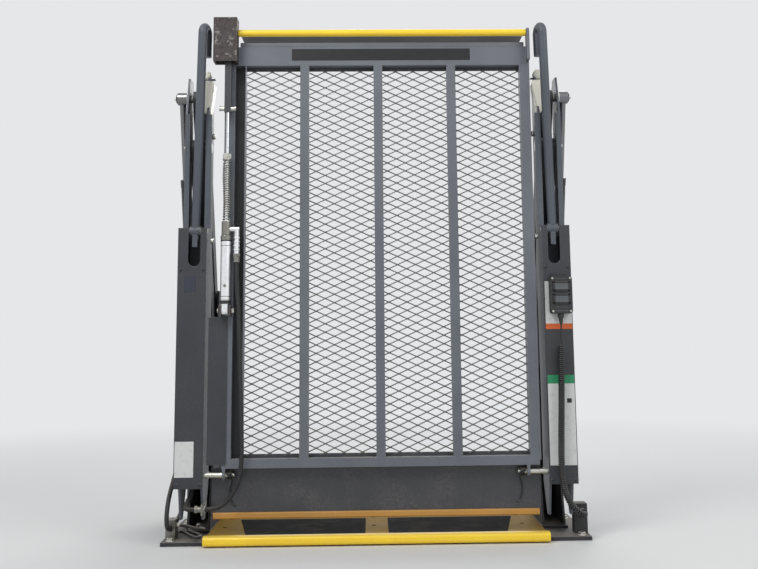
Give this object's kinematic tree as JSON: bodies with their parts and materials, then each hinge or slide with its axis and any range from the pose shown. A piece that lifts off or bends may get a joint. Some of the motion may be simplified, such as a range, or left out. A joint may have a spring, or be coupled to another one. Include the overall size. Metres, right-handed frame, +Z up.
{
  "type": "wheelchair lift",
  "caption": "Platform wheelchair lift for a bus doorway: parallel arms and hydraulic cylinders carry a mesh platform that folds upright, with barriers, handrails and a hand control",
  "frame": {"origin": "centre of the four floor bolts, on the underside of the base plate", "axes": "+X forward along the vehicle, +Y inboard, away from the doorway's outside, +Z up"},
  "size_m": [1.156, 0.5346, 1.448],
  "materials": {
    "base_paint": "dark grey powder coat",
    "yellow_paint": "safety yellow gloss paint, worn at the edges",
    "grip_black": "gritty black anti-slip sheet",
    "zinc": "bright zinc plate",
    "arm_paint": "textured dark grey powder coat",
    "pump_plastic": "matt black moulded cover",
    "cylinder_black": "satin black paint",
    "chrome_rod": "hard chrome",
    "rail_paint": "grey powder coat",
    "deck_paint": "grey powder coat, rubbed at the edges",
    "mesh_steel": "dark grey dipped expanded metal",
    "bridge_paint": "smooth dark grey paint",
    "barrier_paint": "grey powder coat",
    "worn_steel": "grey paint worn to bare, rusting metal",
    "ram_silver": "bare machined metal",
    "spring_steel": "dull silver spring steel",
    "pendant_plastic": "matt black moulding",
    "switch_plastic": "satin black rockers",
    "cord_rubber": "black curly cord",
    "hose_rubber": "black hydraulic hose, faintly wound"
  },
  "bodies": {
    "base": {"base_plate": "base_paint", "threshold_plate": "yellow_paint", "threshold_nosing": "yellow_paint", "threshold_grips": "grip_black", "tower_left": "base_paint", "tower_right": "base_paint", "tower_pins": "zinc", "pump_cover": "pump_plastic", "cord_box": "pump_plastic", "cord_gland": "pendant_plastic", "hose_manifold": "zinc", "valve_block": "zinc", "base_hoses": "hose_rubber"},
    "upper_arms": {"upper_arm_left": "arm_paint", "upper_arm_right": "arm_paint"},
    "lower_arms": {"lower_arm_left": "arm_paint", "lower_arm_right": "arm_paint"},
    "carriage": {"vertical_arm_left": "arm_paint", "vertical_arm_right": "arm_paint", "arm_cover_left": "arm_paint", "arm_cover_right": "arm_paint", "arm_pins": "zinc", "stow_guides": "zinc", "pendant_holder": "pendant_plastic", "pendant": "pendant_plastic", "pendant_switches": "switch_plastic", "pendant_lead": "cord_rubber", "pendant_curl": "cord_rubber", "hose_anchor": "zinc", "arm_hose": "hose_rubber"},
    "platform": {"platform_frame": "deck_paint", "platform_mesh": "mesh_steel", "end_beam": "deck_paint", "side_guard_left": "deck_paint", "side_guard_right": "deck_paint", "edge_cover": "deck_paint", "bridge_hinge": "bridge_paint", "barrier_block": "worn_steel", "barrier_ram": "ram_silver", "ram_bracket": "worn_steel", "hose_elbow": "zinc", "platform_hose": "hose_rubber"},
    "bridge": {"bridge_plate": "bridge_paint", "bridge_edge": "yellow_paint"},
    "barrier": {"outer_barrier": "barrier_paint", "barrier_tube": "yellow_paint"},
    "barrier_rod": {"barrier_rod": "chrome_rod", "barrier_spring": "spring_steel", "barrier_fork": "zinc"},
    "handrails": {"handrail_left": "rail_paint", "handrail_right": "rail_paint"},
    "lift_barrels": {"lift_cylinder_left": "cylinder_black", "lift_cylinder_right": "cylinder_black"},
    "lift_rods": {"lift_rod_left": "chrome_rod", "lift_rod_right": "chrome_rod"}
  },
  "joints": [
    {"name": "arm_swing", "type": "hinge", "parent": "base", "child": "upper_arms", "pos_m": [0, 0.12731, 0.6242], "axis": [1, 0, 0], "range_deg": [0, 121.8]},
    {"name": "lower_swing", "type": "hinge", "parent": "base", "child": "lower_arms", "pos_m": [0, 0.10631, 0.4762], "axis": [1, 0, 0], "range_deg": [0, 121.8]},
    {"name": "arm_level", "type": "hinge", "parent": "upper_arms", "child": "carriage", "pos_m": [0, -0.095, 1.235], "axis": [1, 0, 0], "range_deg": [-121.8, 0]},
    {"name": "cylinder_swing", "type": "hinge", "parent": "base", "child": "lift_barrels", "pos_m": [0, 0.12731, 0.5342], "axis": [1, 0, 0], "range_deg": [0, 118.72]},
    {"name": "cylinder_stroke", "type": "slide", "parent": "lift_barrels", "child": "lift_rods", "axis": [0, -0.3024, 0.9532], "range_m": [-0.15347, 0]},
    {"name": "platform_fold", "type": "hinge", "parent": "carriage", "child": "platform", "pos_m": [0, -0.135, 0.182], "axis": [1, 0, 0], "range_deg": [0, 90]},
    {"name": "rail_fold", "type": "hinge", "parent": "carriage", "child": "handrails", "pos_m": [0, -0.138, 0.845], "axis": [1, 0, 0], "range_deg": [0, 85]},
    {"name": "bridge_tilt", "type": "hinge", "parent": "platform", "child": "bridge", "pos_m": [0, -0.112, 0.207], "axis": [1, 0, 0], "range_deg": [0, 85]},
    {"name": "barrier_tilt", "type": "hinge", "parent": "platform", "child": "barrier", "pos_m": [0, -0.16, 1.41], "axis": [1, 0, 0], "range_deg": [0, 97]},
    {"name": "ram_stroke", "type": "slide", "parent": "platform", "child": "barrier_rod", "axis": [0, 0, 1], "range_m": [-0.0401, 0]}
  ],
  "couplings": [
    {"joint": "lower_swing", "follows": "arm_swing", "ratio": 1},
    {"joint": "arm_level", "follows": "arm_swing", "ratio": -1},
    {"joint": "cylinder_swing", "follows": "arm_swing", "ratio": 0.97464},
    {"joint": "cylinder_stroke", "follows": "arm_swing", "m_per_rad": -0.0721},
    {"joint": "rail_fold", "follows": "platform_fold", "ratio": 0.94444},
    {"joint": "ram_stroke", "follows": "barrier_tilt", "m_per_rad": -0.023627}
  ]
}
